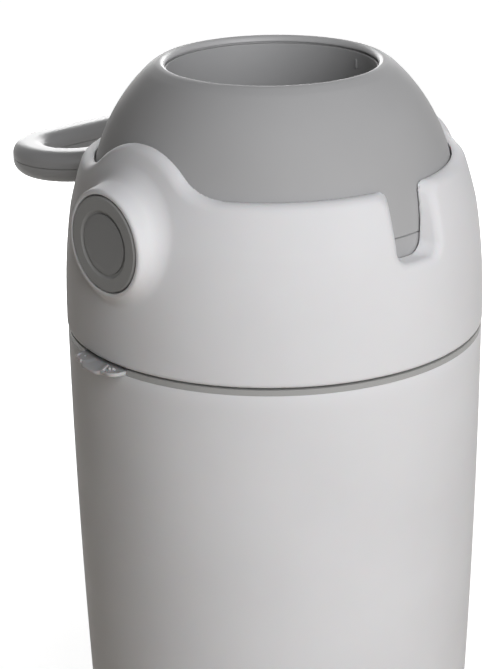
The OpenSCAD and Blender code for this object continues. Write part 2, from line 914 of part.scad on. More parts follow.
module pivot_cap(side) {
    color(DARK_GREY)
        translate([0, 0, pivot_z])
            x_rod(side, cap_floor_x, cap_floor_x + cap_t, cap_r);
}

module hub_screws() {
    seat_x = cap_floor_x - hub_screw_head_t - 1;
    color(STEEL)
        translate([0, 0, pivot_z])
            for (side = [LEFT, RIGHT]) {
                x_rod(side, seat_x, seat_x + hub_screw_head_t, hub_screw_head_r);
                x_rod(side, hub_screw_tip_x, seat_x + eps, hub_screw_r);
            }
}

// ---------- handle ----------

module bar_section(inset) {
    w = grip_w - 2 * inset;
    h = grip_h - 2 * inset;
    r = grip_edge_r - inset;
    square([w, h - 2 * r], center = true);
    square([w - 2 * r, h], center = true);
    for (sx = [-1, 1], sy = [-1, 1])
        translate([sx * (w / 2 - r), sy * (h / 2 - r)])
            circle(r = r);
}

// The grip's closed loop: two straight bars and two half turns
module grip_loop(inset) {
    for (y = [grip_near_y, grip_far_y])
        translate([0, y, 0])
            rotate([90, 0, 90])
                linear_extrude(height = 2 * grip_half_l, center = true)
                    bar_section(inset);
    for (s = [-1, 1])
        translate([s * grip_half_l, grip_mid_y, 0])
            rotate(-90 * s)
                rotate_extrude(angle = 180)
                    translate([grip_turn_r, 0])
                        bar_section(inset);
}

module neck_body() {
    flare_y = grip_near_y - 2;
    translate([0, 0, -neck_half_h])
        linear_extrude(height = 2 * neck_half_h)
            polygon([
                [-neck_half_w, neck_root_y], [neck_half_w, neck_root_y],
                [neck_half_w, flare_y - neck_flare], [neck_half_w + neck_flare, flare_y],
                [-neck_half_w - neck_flare, flare_y], [-neck_half_w, flare_y - neck_flare]
            ]);
    intersection() {
        sphere(r = shell_inner_r - 0.2);
        span([-neck_flange_half_w, neck_root_y, -neck_flange_half_h],
            [neck_flange_half_w, far, neck_flange_half_h]);
    }
}

module handle_half(way) {
    color(DRUM_GREY)
        translate([0, 0, pivot_z])
            difference() {
                union() {
                    difference() {
                        grip_loop(0);
                        grip_loop(grip_wall);
                    }
                    difference() {
                        neck_body();
                        span([-far, grip_near_y - grip_w / 2 + grip_edge_r, -far], [far, far, far]);
                    }
                    for (p = handle_screw_places)
                        translate([p.x, p.y, 1 - neck_half_h])
                            cylinder(r = pillar_r, h = 2 * neck_half_h - 2);
                }
                for (p = handle_screw_places)
                    translate([p.x, p.y, 0]) {
                        translate([0, 0, -far])
                            cylinder(r = screw_r + (way < 0 ? fit_gap : 0), h = far + neck_half_h - 3);
                        translate([0, 0, -neck_half_h - 1])
                            cylinder(r = screw_head_r + 0.4, h = screw_head_depth + 1);
                    }
                translate([0, 0, way > 0 ? -far : 0])
                    cylinder(r = far, h = far);
            }
}

module handle_screws() {
    color(STEEL)
        translate([0, 0, pivot_z - neck_half_h + screw_head_depth])
            for (p = handle_screw_places)
                translate([p.x, p.y, 0])
                    screw_up(2 * neck_half_h - screw_head_depth - 4);
}

// ---------- piston ----------

module piston_body() {
    mid_z = piston_body_z + piston_body_h / 2;
    color(WHITE)
        translate([0, 0, pivot_z]) {
            difference() {
                ring(piston_r - piston_wall - seal_groove_depth, piston_r,
                    piston_body_z, piston_body_z + piston_body_h);
                for (z = [piston_body_z + seal_groove_inset,
                        piston_body_z + piston_body_h - seal_groove_inset - seal_groove_h])
                    ring(piston_r - seal_groove_depth, piston_r + 1, z, z + seal_groove_h);
            }
            translate([0, 0, mid_z - piston_web_t / 2])
                cylinder(r = piston_r - piston_wall - seal_groove_depth + eps, h = piston_web_t);
        }
}

// End caps: a rim on the body's end, and a shallow dome outwards
module piston_cap(way) {
    end_z = way > 0 ? piston_body_z + piston_body_h : piston_body_z;
    flat_r = piston_r - 12;
    color(WHITE)
        translate([0, 0, pivot_z + end_z])
            mirror([0, 0, way < 0 ? 1 : 0])
                rotate_extrude()
                    polygon([
                        [0, cap_crown], [flat_r - 10, cap_crown], [flat_r, cap_crown - 0.6],
                        [piston_r - 4, 0], [piston_r, 0], [piston_r, piston_cap_t - 1],
                        [piston_r - 1, piston_cap_t],
                        [piston_r - 4, piston_cap_t + 0.6], [flat_r, cap_crown + piston_cap_t - 0.6],
                        [flat_r - 10, cap_crown + piston_cap_t], [0, cap_crown + piston_cap_t]
                    ]);
}

module piston_seals() {
    color(RUBBER)
        translate([0, 0, pivot_z])
            for (z = [piston_body_z + seal_groove_inset,
                    piston_body_z + piston_body_h - seal_groove_inset - seal_groove_h])
                ring(piston_r - seal_groove_depth, piston_r + free_gap / 3,
                    z + fit_gap, z + seal_groove_h - fit_gap);
}

tub_shell();
tub_rim_ring();
rim_seal();
latch_pins();
bag_ring();
latch(LEFT);  // latch_left
latch(RIGHT);  // latch_right
head_shell();
head_liner();
liner_screws();
drum_seal();
pivot_bush(LEFT);  // pivot_bush_left
pivot_bush(RIGHT);  // pivot_bush_right
drum_upper_shell();
drum_lower_shell();
drum_tube();
trunnion_block(LEFT);  // trunnion_block_left
trunnion_block(RIGHT);  // trunnion_block_right
pivot_hub(LEFT);  // pivot_hub_left
pivot_hub(RIGHT);  // pivot_hub_right
pivot_cap(LEFT);  // pivot_cap_left
pivot_cap(RIGHT);  // pivot_cap_right
hub_screws();
handle_half(UP);  // handle_upper
handle_half(DOWN);  // handle_lower
handle_screws();
piston_body();
piston_cap(UP);  // piston_cap_upper
piston_cap(DOWN);  // piston_cap_lower
piston_seals();
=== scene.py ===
"""A nappy bin with a flip-over drum: its looks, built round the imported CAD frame.

Lengths in the shape code are millimetres, and place() turns them into metres in the
frame. The head, the drum and the handle are drawn about the drum's pivot, the latches
about the seam, and the tub about the floor. In names, _R is a radius, _H a height, _T a
thickness, _L a length, _W a width, _X, _Y and _Z a place, and _EDGE_R rounds an edge. A
latch has its own axes: its places end in _U, _V and _W, and its half widths in _HALF_W.
Materials, lights and the camera are measured in metres.
"""

import json
import math
import bmesh
import bpy
import numpy as np
from mathutils import Matrix, Vector


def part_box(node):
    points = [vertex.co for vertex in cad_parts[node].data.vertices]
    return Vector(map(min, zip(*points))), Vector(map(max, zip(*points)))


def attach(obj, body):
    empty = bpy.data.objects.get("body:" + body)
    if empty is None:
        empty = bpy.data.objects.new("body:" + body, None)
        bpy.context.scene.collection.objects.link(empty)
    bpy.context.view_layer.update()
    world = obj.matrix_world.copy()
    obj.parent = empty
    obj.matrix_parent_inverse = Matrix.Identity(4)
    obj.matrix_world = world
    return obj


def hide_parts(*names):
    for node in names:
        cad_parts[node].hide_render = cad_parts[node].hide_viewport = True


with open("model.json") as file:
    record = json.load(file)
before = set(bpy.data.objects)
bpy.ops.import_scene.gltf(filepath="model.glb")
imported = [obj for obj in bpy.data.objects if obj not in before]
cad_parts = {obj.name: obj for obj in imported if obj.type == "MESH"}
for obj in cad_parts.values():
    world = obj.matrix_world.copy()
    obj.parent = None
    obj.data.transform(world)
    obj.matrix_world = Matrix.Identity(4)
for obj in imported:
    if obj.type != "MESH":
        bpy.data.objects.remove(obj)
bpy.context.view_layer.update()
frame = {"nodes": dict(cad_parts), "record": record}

MM = 0.001

# Edges sharper than these, in degrees, stay crisp on lathed pieces and on skins
SMOOTH_ANGLE = 35.0
SKIN_SMOOTH_ANGLE = 40.0


# ---------- sizes ----------

# The bin as a whole
SEAM_Z = 390.0
PIVOT_RISE = 80.5
PIVOT_Z = SEAM_Z + PIVOT_RISE

# The tub, with a ring-shaped hollow under its floor
TUB_TOP_R = 139.2
TUB_FOOT_R = 127.7
TUB_WALL = 2.6
TUB_FLOOR = 4.0
FOOT_EDGE_R = 9.0
TUB_H = SEAM_Z - 5.0
UNDER_GROOVE_R = 60.0
UNDER_GROOVE_INSET = 12.0
UNDER_GROOVE_H = 1.5
UNDER_GROOVE_SLOPE = 0.8

# The head: its wall, its dome, and the rim with a hill at each pivot
HEAD_R = 139.6
WAIST_R = 134.0
DOME_R = 125.0
DOME_FALLOFF = 16.3
WALL_POWER = 2.4
HEAD_WALL = 3.0
HEAD_FOOT_EDGE_R = 1.8
HEAD_INNER_EDGE_R = 1.0
RIM_RISE = 32.0
HILL_R = 57.0
HILL_BLEND_R = 45.0
HILL_BLEND_Y = 66.895
HILL_MEET_Y = 37.38
LIP_ROUND = 4.5
LIP_UNDER_Z = 24.0
DRUM_SPACE_R = 121.0
DRUM_SPACE_EDGE_R = 1.2

# The notches for the handle's neck, wider at the outer wall than at the drum
NOTCH_HALF_W = 12.6
NOTCH_FLARE_W = 19.0
NOTCH_SIDE_SLOPE = 0.03
NOTCH_DROP = 12.7
NOTCH_CORNER_R = 9.0
NOTCH_TOP_OUTER_R = 9.5
NOTCH_TOP_INNER_R = 4.5
NOTCH_SIDE_WALL = 4.0
NOTCH_FLOOR_WALL = 3.3

# The bosses that carry the pivots
BOSS_X = 143.3
BOSS_R = 34.6
BOSS_SPREAD = 0.2
BOSS_LEAN = 0.98
BOSS_HOLLOW_R = 7.0
BOSS_EDGE_R = 1.6
BOSS_CORE_R = 26.0
POCKET_X = 138.5
POCKET_R = 31.6
POCKET_CHAMFER = 0.6
BUSH_HOLE_R = 17.16

# Cutters start this far from the pivot's middle, clear of the tube, and end past what they cut
CUT_FROM = 100.0
DRUM_CUT_TO = 130.0
HEAD_CUT_TO = 160.0

# The drum: two half balls round a tube, with a curved lip at each mouth
DRUM_R = 120.0
DRUM_WALL = 2.8
DRUM_JOINT_CHAMFER = 0.7
DRUM_JOINT_Z = 0.25
BALL_FROM_ANGLE = 0.28
BALL_INNER_FROM_ANGLE = 0.06
MOUTH_Z = 92.9
SHOULDER_DROP = 4.0
LIP_CREST_R = 73.16
LIP_R = 69.36
SKIRT_H = 11.0
SKIRT_WALL = 2.4
SLOT_GAP = 0.4
SHAFT_GAP = 0.2
TUBE_R = 68.46
TUBE_OUTER_R = 70.96
TUBE_HALF_L = 89.1
TUBE_END_INSET = 1.2
TUBE_SEAT_GAP = 0.2
TUBE_EDGE_R = 0.4
STOP_Z = 76.0
STOP_H = 8.0
STOP_TURN = -8.0
STOP_INSET = 0.7
STOP_HALF_SIZE = (1.6, 1.2, 3.4)
STOP_EDGE_R = 1.15

# The pivots' hubs and caps
HUB_FACE_X = 143.8
HUB_BACK_X = 140.3
HUB_R = 30.7
HUB_BEVEL = 1.0
HUB_EDGE_R = 0.5
GROOVE_OUTER_R = 22.1
GROOVE_INNER_R = 20.5
GROOVE_DEPTH = 1.5
CAP_R = 19.4
CAP_GAP = 0.1
CAP_FLAT_R = 15.4
CAP_SIDE_T = 1.2
CAP_FLOOR_X = 142.0
CAP_T = 1.6
SHAFT_R = 14.0
SHAFT_END_X = 104.0

# The handle: a closed loop on a neck, in two halves
GRIP_FAR_Y = 211.0
GRIP_NEAR_Y = 149.5
GRIP_HALF_L = 28.0
GRIP_W = 24.0
GRIP_H = 22.0
GRIP_EDGE_R = 9.0
GRIP_JOINT_GAP = 0.2
NECK_HALF_W = 10.8
NECK_ROOT_Y = 108.2
NECK_EDGE_R = 5.0
NECK_HOLLOW_R = 9.0
SCREW_WELL_R = 3.7
SCREW_WELL_TOP_Z = -7.05
SCREW_WELL_LOW_Z = -14.0

# The latches: a plate with a sunk tray, a thumb paddle in its middle, a pin barrel and a hook
LATCH_TURN = 5.0
LATCH_PIN_U = 131.9
LATCH_PIN_W = -5.2
LATCH_HALF_W = 23.5
LATCH_LOBE_R = 149.0
LATCH_TOP_W = -1.9
LATCH_TRAY_W = -3.3
LATCH_UNDER_W = -4.7
LATCH_MIDDLE_W = (LATCH_TOP_W + LATCH_UNDER_W) / 2
LATCH_CORNER_R = 6.0
LATCH_EDGE_R = 0.9
TRAY_RIM = 1.5
TRAY_RISE = 1.5
TRAY_RISE_FROM_R = 145.0
TRAY_RISE_RUN = 5.0
TRAY_CORNER_R = 1.2
TRAY_EDGE_R = 0.5
PADDLE_R = 150.5
PADDLE_ROOT_R = 140.0
PADDLE_HALF_W = 12.2
PADDLE_ROOT_W = -1.5
PADDLE_TIP_W = -3.9
PADDLE_UNDER_W = -5.8
PADDLE_CORNER_R = 6.5
PADDLE_TOP_EDGE_R = 0.6
PADDLE_UNDER_EDGE_R = 0.8
PADDLE_OVERLAP = 0.3
PADDLE_NARROWING = 4.4
PADDLE_NARROW_FROM_R = 148.0
PADDLE_NARROW_RUN = 8.0
PADDLE_GAP = 1.2
PADDLE_GAP_ROOT_R = 140.8
PADDLE_GAP_CORNER_R = 0.5
PADDLE_GAP_EDGE_R = 0.2
DISH_DEPTH = 0.8
DISH_RIM = 1.0
DISH_RUN = 4.0
BUMPS_UV = ((142.1, -12.6), (140.7, -14.6))
BUMP_W = -2.2
BUMP_R = 1.0
PITS_UV = ((140.4, -16.6), (140.9, 16.8))
PIT_HALF_SIZE = (0.9, 0.7, 3.0)
PIT_EDGE_R = 0.4
BARREL_R = 3.2
BARREL_HALF_L = 19.0
BARREL_EDGE_R = 0.5
PIN_HOLE_R = 1.56
EAR_V = 21.5
EAR_HALF_T = 2.0
EAR_REACH_U = 134.8

# A latch's hook, from its wall, the arm below and the tip above: where each box's middle is
# along u and w, its half sizes, and its edges' rounding
HOOK_BOXES = (
    ((129.7, 0.2), (1.1, 10.0, 5.4), 0.5),
    ((130.2, -5.2), (1.6, 10.0, 1.0), 0.3),
    ((130.4, 4.6), (1.8, 10.0, 1.0), 0.3),
)

# The piston's caps
PISTON_GAP = 0.3
CROWN_H = 6.5
CROWN_FALL = 4.4

# The grids on which skins are made: the lowest corner, the highest corner and the step.
# A stop's grid reaches this far to each side of its middle
HEAD_GRID = ((-148, -144, -84), (148, 144, 62), 1.25)
HANDLE_GRID = ((-76, 104, -15), (76, 228, 15), 1.0)
LATCH_GRID = ((126, -27, -10), (153, 27, 7), 0.4)
STOP_STEP = 0.4
STOP_REACH = (2.6, 2.8, 5.0)


# ---------- building meshes ----------

def place(points, z_offset):
    """Millimetre points moved up by z_offset, in metres."""
    points = np.asarray(points, float).copy()
    points[:, 2] += z_offset
    return points * MM


def make_object(name, points, faces, smooth_angle=SMOOTH_ANGLE):
    mesh = bpy.data.meshes.new(name)
    mesh.from_pydata([tuple(p) for p in points], [], [tuple(int(i) for i in f) for f in faces])
    mesh.update()
    piece = bpy.data.objects.new(name, mesh)
    bpy.context.scene.collection.objects.link(piece)
    shade(piece, smooth_angle)
    return piece


def shade(piece, smooth_angle=SMOOTH_ANGLE):
    mesh = piece.data
    mesh.shade_smooth()
    mesh.set_sharp_from_angle(angle=math.radians(smooth_angle))


def arc(radius, angles):
    """Points on a circle about the origin, at angles in degrees."""
    return [(radius * math.cos(math.radians(a)), radius * math.sin(math.radians(a)))
            for a in angles]


def rounded_outline(corners, arc_steps=6):
    """A closed outline with its corners rounded. Each corner is (across, up, radius)."""
    outline = []
    count = len(corners)
    for i, (px, py, radius) in enumerate(corners):
        p = np.array([px, py])
        before = np.array(corners[i - 1][:2]) - p
        after = np.array(corners[(i + 1) % count][:2]) - p
        if radius <= 0:
            outline.append(p)
            continue
        u = before / np.linalg.norm(before)
        v = after / np.linalg.norm(after)
        half = math.acos(np.clip(u @ v, -1, 1)) / 2
        room = 0.49 * min(np.linalg.norm(before), np.linalg.norm(after))
        reach = min(radius / math.tan(half), room)
        radius = reach * math.tan(half)
        middle = p + (u + v) / np.linalg.norm(u + v) * radius / math.sin(half)
        start = p + u * reach - middle
        turn = math.pi - 2 * half
        sense = 1.0 if u[0] * v[1] - u[1] * v[0] < 0 else -1.0
        for k in range(arc_steps + 1):
            a = sense * turn * k / arc_steps
            c, s = math.cos(a), math.sin(a)
            turned = (c * start[0] - s * start[1], s * start[0] + c * start[1])
            outline.append(middle + np.array(turned))
    return outline


def smooth_curve(points, steps=5):
    """A Catmull-Rom curve through the points."""
    points = [np.array(p, float) for p in points]
    ends = [2 * points[0] - points[1]] + points + [2 * points[-1] - points[-2]]
    curve = []
    for i in range(1, len(ends) - 2):
        a, b, c, d = ends[i - 1:i + 3]
        for k in range(steps):
            t = k / steps
            curve.append(0.5 * (2 * b + (c - a) * t + (2 * a - 5 * b + 4 * c - d) * t**2
                                + (3 * b - a - 3 * c + d) * t**3))
    curve.append(points[-1])
    return curve


def lathe(name, outline, z_offset=0.0, segments=192):
    """A closed outline of (radius, height) points turned about Z. Radius 0 closes at the axis."""
    rings = []
    points = []
    for r, h in outline:
        if r < 1e-6:
            rings.append([len(points)] * segments)
            points.append((0.0, 0.0, h))
            continue
        rings.append(list(range(len(points), len(points) + segments)))
        for k in range(segments):
            a = 2 * math.pi * k / segments
            points.append((r * math.cos(a), r * math.sin(a), h))
    faces = []
    for i, low in enumerate(rings):
        high = rings[(i + 1) % len(rings)]
        if low[0] == low[1] and high[0] == high[1]:
            continue
        for k in range(segments):
            n = (k + 1) % segments
            face = list(dict.fromkeys([low[k], low[n], high[n], high[k]]))
            if len(face) > 2:
                faces.append(face)
    piece = make_object(name, place(points, z_offset), faces)
    face_outwards(piece)
    shade(piece)
    return piece


def face_outwards(piece):
    bm = bmesh.new()
    bm.from_mesh(piece.data)
    bmesh.ops.recalc_face_normals(bm, faces=bm.faces)
    bm.to_mesh(piece.data)
    bm.free()


def lay_along_x(piece, side):
    """Turns a piece that was lathed about Z so that its height runs along X, at the pivot."""
    turn = Matrix.Rotation(math.radians(90 * side), 4, "Y")
    piece.data.transform(Matrix.Translation((0, 0, PIVOT_Z * MM)) @ turn)


def cut(piece, cutter, smooth_angle=SMOOTH_ANGLE):
    """Takes cutter's volume out of piece, and deletes cutter."""
    modifier = piece.modifiers.new("cut", "BOOLEAN")
    modifier.operation = "DIFFERENCE"
    modifier.solver = "EXACT"
    modifier.object = cutter
    graph = bpy.context.evaluated_depsgraph_get()
    mesh = bpy.data.meshes.new_from_object(piece.evaluated_get(graph))
    piece.modifiers.clear()
    old = piece.data
    piece.data = mesh
    bpy.data.meshes.remove(old)
    bpy.data.objects.remove(cutter)
    shade(piece, smooth_angle)


def box_piece(name, low, high):
    points = [(x, y, z) for x in (low[0], high[0])
              for y in (low[1], high[1]) for z in (low[2], high[2])]
    faces = [(0, 1, 3, 2), (4, 6, 7, 5), (0, 4, 5, 1), (2, 3, 7, 6), (0, 2, 6, 4), (1, 5, 7, 3)]
    return make_object(name, np.array(points) * MM, faces)


def join(name, pieces):
    """Joins pieces into the first one."""
    bm = bmesh.new()
    for piece in pieces:
        bm.from_mesh(piece.data)
    kept = pieces[0]
    bm.to_mesh(kept.data)
    bm.free()
    for piece in pieces[1:]:
        bpy.data.objects.remove(piece)
    kept.name = name
    return kept


# ---------- solids as distance fields ----------

def round_both(a, b, radius):
    """Where both fields are inside, with the edge between them rounded."""
    corner = np.hypot(np.maximum(a + radius, 0), np.maximum(b + radius, 0))
    return np.minimum(np.maximum(a, b), -radius) + corner


def round_either(a, b, radius):
    """Where either field is inside, with the hollow between them filled to a radius."""
    return -round_both(-a, -b, radius)


def without(a, b, radius):
    """The first field less the second, with the edge rounded."""
    return round_both(a, -b, radius)


def slab_box(offsets, halves, radius):
    """A box about the origin with rounded edges, from its coordinates and half sizes."""
    q = [np.abs(o) - (h - radius) for o, h in zip(offsets, halves)]
    outside = np.sqrt(sum(np.maximum(c, 0) ** 2 for c in q))
    inside = np.minimum(np.maximum.reduce(q), 0)
    return outside + inside - radius


def slope_of(field, points, nudge=0.05):
    """The field's gradient at each point."""
    slope = np.empty_like(points)
    for axis in range(3):
        step = np.zeros(3)
        step[axis] = nudge
        slope[:, axis] = (field(*(points + step).T) - field(*(points - step).T)) / (2 * nudge)
    return slope


def surface_net(name, field, low, high, step, z_offset):
    """A closed quad mesh over the surface where field is zero, from a grid of cubes."""
    low = np.array(low, float)
    counts = [int(math.ceil((h - l) / step)) + 1 for l, h in zip(low, high)]
    axes = [l + step * np.arange(n) for l, n in zip(low, counts)]
    value = field(*np.meshgrid(*axes, indexing="ij"))
    inside = value < 0

    # One point in each cube that the surface passes through
    corners = np.array([(i, j, k) for i in (0, 1) for j in (0, 1) for k in (0, 1)])
    spans = [slice(0, n - 1) for n in counts]
    full = np.zeros([n - 1 for n in counts], np.int8)
    for corner in corners:
        full += inside[tuple(slice(s.start + o, s.stop + o) for s, o in zip(spans, corner))]
    active = (full > 0) & (full < 8)
    cells = np.argwhere(active)
    index = np.full(active.shape, -1, np.int64)
    index[active] = np.arange(len(cells))

    # It starts at the mean of the crossings on the cube's edges
    at = np.stack([value[tuple((cells + c).T)] for c in corners], 1)
    total = np.zeros((len(cells), 3))
    crossings = np.zeros(len(cells))
    for a in range(8):
        for b in range(a + 1, 8):
            if np.abs(corners[a] - corners[b]).sum() != 1:
                continue
            crossed = (at[:, a] < 0) != (at[:, b] < 0)
            gap = np.where(crossed, at[:, a] - at[:, b], 1.0)
            share = np.where(crossed, at[:, a] / gap, 0.0)[:, None]
            total += crossed[:, None] * (corners[a] + share * (corners[b] - corners[a]))
            crossings += crossed
    points = low + step * (cells + total / crossings[:, None])

    # Then it moves onto the surface, by at most half a cube a time
    for _ in range(3):
        slope = slope_of(field, points)
        steep = np.maximum((slope**2).sum(1), 0.25)
        move = -(field(*points.T) / steep)[:, None] * slope
        length = np.linalg.norm(move, axis=1, keepdims=True)
        points += move * np.minimum(1.0, 0.5 * step / np.maximum(length, 1e-9))

    # A face across each grid edge that the surface crosses
    faces = []
    for axis in range(3):
        first = [slice(1, n - 1) for n in counts]
        second = list(first)
        first[axis] = slice(0, counts[axis] - 1)
        second[axis] = slice(1, counts[axis])
        starts_in = inside[tuple(first)]
        ends_in = inside[tuple(second)]
        base = np.argwhere(starts_in != ends_in)
        leaves = starts_in[tuple(base.T)]
        offset = np.ones(3, int)
        offset[axis] = 0
        base = base + offset
        u = np.zeros(3, int)
        v = np.zeros(3, int)
        u[(axis + 1) % 3] = 1
        v[(axis + 2) % 3] = 1
        around = (base - u - v, base - v, base, base - u)
        quad = np.stack([index[tuple(c.T)] for c in around], 1)
        quad[~leaves] = quad[~leaves][:, ::-1]
        faces.append(quad)
    return make_object(name, place(points, z_offset), np.concatenate(faces), SKIN_SMOOTH_ANGLE)


# ---------- finishes ----------

# How many waves of each noise there are in a metre
CLOUD_SCALE = 9.0
PORE_SCALE = 1500.0
WAVE_SCALE = 22.0
SCRATCH_SCALE = 900.0

# The middle part of a noise, where nearly all of its values lie
NOISE_LOW = 0.3
NOISE_HIGH = 0.7

MOTTLE = 0.03
PORE_DEPTH = 0.0002
WAVE_DEPTH = 0.0006
WAVE_STRENGTH = 0.08
GLOSS_SPREAD = 0.04
SCATTER_DEPTH = 0.004

STEEL_COLOR = (0.62, 0.62, 0.64, 1)
STEEL_ROUGHNESS = (0.22, 0.42)

# How dark the grip's colour is made as painted shade, how glossy use has made it, and how far
# behind the pivot that sets in.
# The lips' gloss fades out between two distances from the drum's axis
GRIP_PAINTED_SHADE_TONE = 0.72
GRIP_GLOSS = 0.6
GRIP_FROM_TO = (0.125, 0.150)
LIP_GLOSS = 1.0
LIP_GLOSS_FROM_TO = ((LIP_R + 1.5) * MM, (LIP_R + 3) * MM)
WORN_ROUGHNESS = 0.4

# The darker tone painted on the latches' upper faces as shade, and how far up a face has to look
# to have it
LATCH_PAINTED_SHADE_TONE = (0.66, 0.66, 0.67, 1)
LATCH_PAINTED_SHADE_FROM_TO = (0.5, 0.95)


def new_material(name):
    """A material with its nodes, links and shader."""
    material = bpy.data.materials.new(name)
    material.use_nodes = True
    nodes = material.node_tree.nodes
    return material, nodes, material.node_tree.links, nodes["Principled BSDF"]


def object_place(nodes):
    """Where a point is in its piece, so that the finish stays with the piece."""
    return nodes.new("ShaderNodeTexCoord").outputs["Object"]


def noise(nodes, links, place_in, scale, detail=2.0):
    node = nodes.new("ShaderNodeTexNoise")
    node.inputs["Scale"].default_value = scale
    node.inputs["Detail"].default_value = detail
    links.new(place_in, node.inputs["Vector"])
    return node.outputs["Fac"]


def bump(nodes, links, height, strength, depth):
    node = nodes.new("ShaderNodeBump")
    node.inputs["Strength"].default_value = strength
    node.inputs["Distance"].default_value = depth
    links.new(height, node.inputs["Height"])
    return node


def ranged(nodes, links, source, low, high, from_low=0.0, from_high=1.0):
    """The source's value turned from one range into another."""
    scale = nodes.new("ShaderNodeMapRange")
    scale.inputs["From Min"].default_value = from_low
    scale.inputs["From Max"].default_value = from_high
    scale.inputs["To Min"].default_value = low
    scale.inputs["To Max"].default_value = high
    links.new(source, scale.inputs["Value"])
    return scale.outputs["Result"]


def combined(nodes, links, operation, first, second):
    """Two values put together by a Math node."""
    node = nodes.new("ShaderNodeMath")
    node.operation = operation
    links.new(first, node.inputs[0])
    links.new(second, node.inputs[1])
    return node.outputs["Value"]


def length_of(nodes, links, vector):
    node = nodes.new("ShaderNodeVectorMath")
    node.operation = "LENGTH"
    links.new(vector, node.inputs[0])
    return node.outputs["Value"]


def parts_of(nodes, links, vector):
    """The vector's X, Y and Z."""
    node = nodes.new("ShaderNodeSeparateXYZ")
    links.new(vector, node.inputs["Vector"])
    return node.outputs


def darken(nodes, links, shader, tone, share):
    """Multiplies the shader's colour by a tone, by a share from 0 to 1."""
    node = nodes.new("ShaderNodeMix")
    node.data_type = "RGBA"
    node.blend_type = "MULTIPLY"
    node.inputs["B"].default_value = tone
    links.new(share, node.inputs["Factor"])
    links.new(shader.inputs["Base Color"].links[0].from_socket, node.inputs["A"])
    links.new(node.outputs["Result"], shader.inputs["Base Color"])


def plastic(name, color, roughness, grain=0.18, gleam=0.35, scatter=0.0):
    """Moulded plastic: a fine spark-eroded grain, slight unevenness of tone and of gloss."""
    material, nodes, links, shader = new_material(name)
    place_in = object_place(nodes)

    tone = nodes.new("ShaderNodeValToRGB")
    dark, light = tone.color_ramp.elements
    dark.position = NOISE_LOW
    dark.color = (*[c * (1 - MOTTLE) for c in color], 1)
    light.position = NOISE_HIGH
    light.color = (*[min(1.0, c * (1 + MOTTLE)) for c in color], 1)
    links.new(noise(nodes, links, place_in, CLOUD_SCALE, 3.0), tone.inputs["Fac"])
    links.new(tone.outputs["Color"], shader.inputs["Base Color"])

    pores = noise(nodes, links, place_in, PORE_SCALE)
    waves = noise(nodes, links, place_in, WAVE_SCALE, 1.0)
    fine = bump(nodes, links, pores, grain, PORE_DEPTH)
    broad = bump(nodes, links, waves, WAVE_STRENGTH, WAVE_DEPTH)
    links.new(fine.outputs["Normal"], broad.inputs["Normal"])
    links.new(broad.outputs["Normal"], shader.inputs["Normal"])

    gloss = ranged(nodes, links, waves, roughness - GLOSS_SPREAD, roughness + GLOSS_SPREAD,
                   NOISE_LOW, NOISE_HIGH)
    links.new(gloss, shader.inputs["Roughness"])
    shader.inputs["Specular IOR Level"].default_value = gleam
    shader.inputs["Subsurface Weight"].default_value = scatter
    shader.inputs["Subsurface Scale"].default_value = SCATTER_DEPTH
    return material


def steel(name):
    """Plated steel with fine scratches in its gloss."""
    material, nodes, links, shader = new_material(name)
    shader.inputs["Metallic"].default_value = 1.0
    shader.inputs["Base Color"].default_value = STEEL_COLOR
    scratch = noise(nodes, links, object_place(nodes), SCRATCH_SCALE)
    links.new(ranged(nodes, links, scratch, *STEEL_ROUGHNESS), shader.inputs["Roughness"])
    return material


def polish_grip_and_paint_shade(material):
    """Adds gloss where hands touch the drum, on its lips and on the grip, and paints shade on the
    grip as a darker colour.
    """
    nodes = material.node_tree.nodes
    links = material.node_tree.links
    shader = nodes["Principled BSDF"]
    place_in = parts_of(nodes, links, object_place(nodes))
    # Painted shade: the grip's colour is darkened behind the pivot
    grip_painted_shade_share = ranged(nodes, links, place_in["Y"], 0.0, 1.0, *GRIP_FROM_TO)
    darken(nodes, links, shader, (GRIP_PAINTED_SHADE_TONE, GRIP_PAINTED_SHADE_TONE, GRIP_PAINTED_SHADE_TONE, 1), grip_painted_shade_share)

    flat = nodes.new("ShaderNodeCombineXYZ")
    links.new(place_in["X"], flat.inputs["X"])
    links.new(place_in["Y"], flat.inputs["Y"])
    from_axis = length_of(nodes, links, flat.outputs["Vector"])
    grip_gloss = ranged(nodes, links, place_in["Y"], 0.0, GRIP_GLOSS, *GRIP_FROM_TO)
    lip_gloss = ranged(nodes, links, from_axis, LIP_GLOSS, 0.0, *LIP_GLOSS_FROM_TO)
    gloss = combined(nodes, links, "MAXIMUM", grip_gloss, lip_gloss)
    links.new(gloss, shader.inputs["Coat Weight"])
    shader.inputs["Coat Roughness"].default_value = WORN_ROUGHNESS


def paint_shade_from_above(material):
    """Paints shade on a latch's upper faces: it darkens the colour of the faces that look up."""
    nodes = material.node_tree.nodes
    links = material.node_tree.links
    facing = nodes.new("ShaderNodeTexCoord").outputs["Normal"]
    upwards = parts_of(nodes, links, facing)["Z"]
    share = ranged(nodes, links, upwards, 0.0, 1.0, *LATCH_PAINTED_SHADE_FROM_TO)
    # Painted shade: the faces that look up get a darker colour
    darken(nodes, links, nodes["Principled BSDF"], LATCH_PAINTED_SHADE_TONE, share)


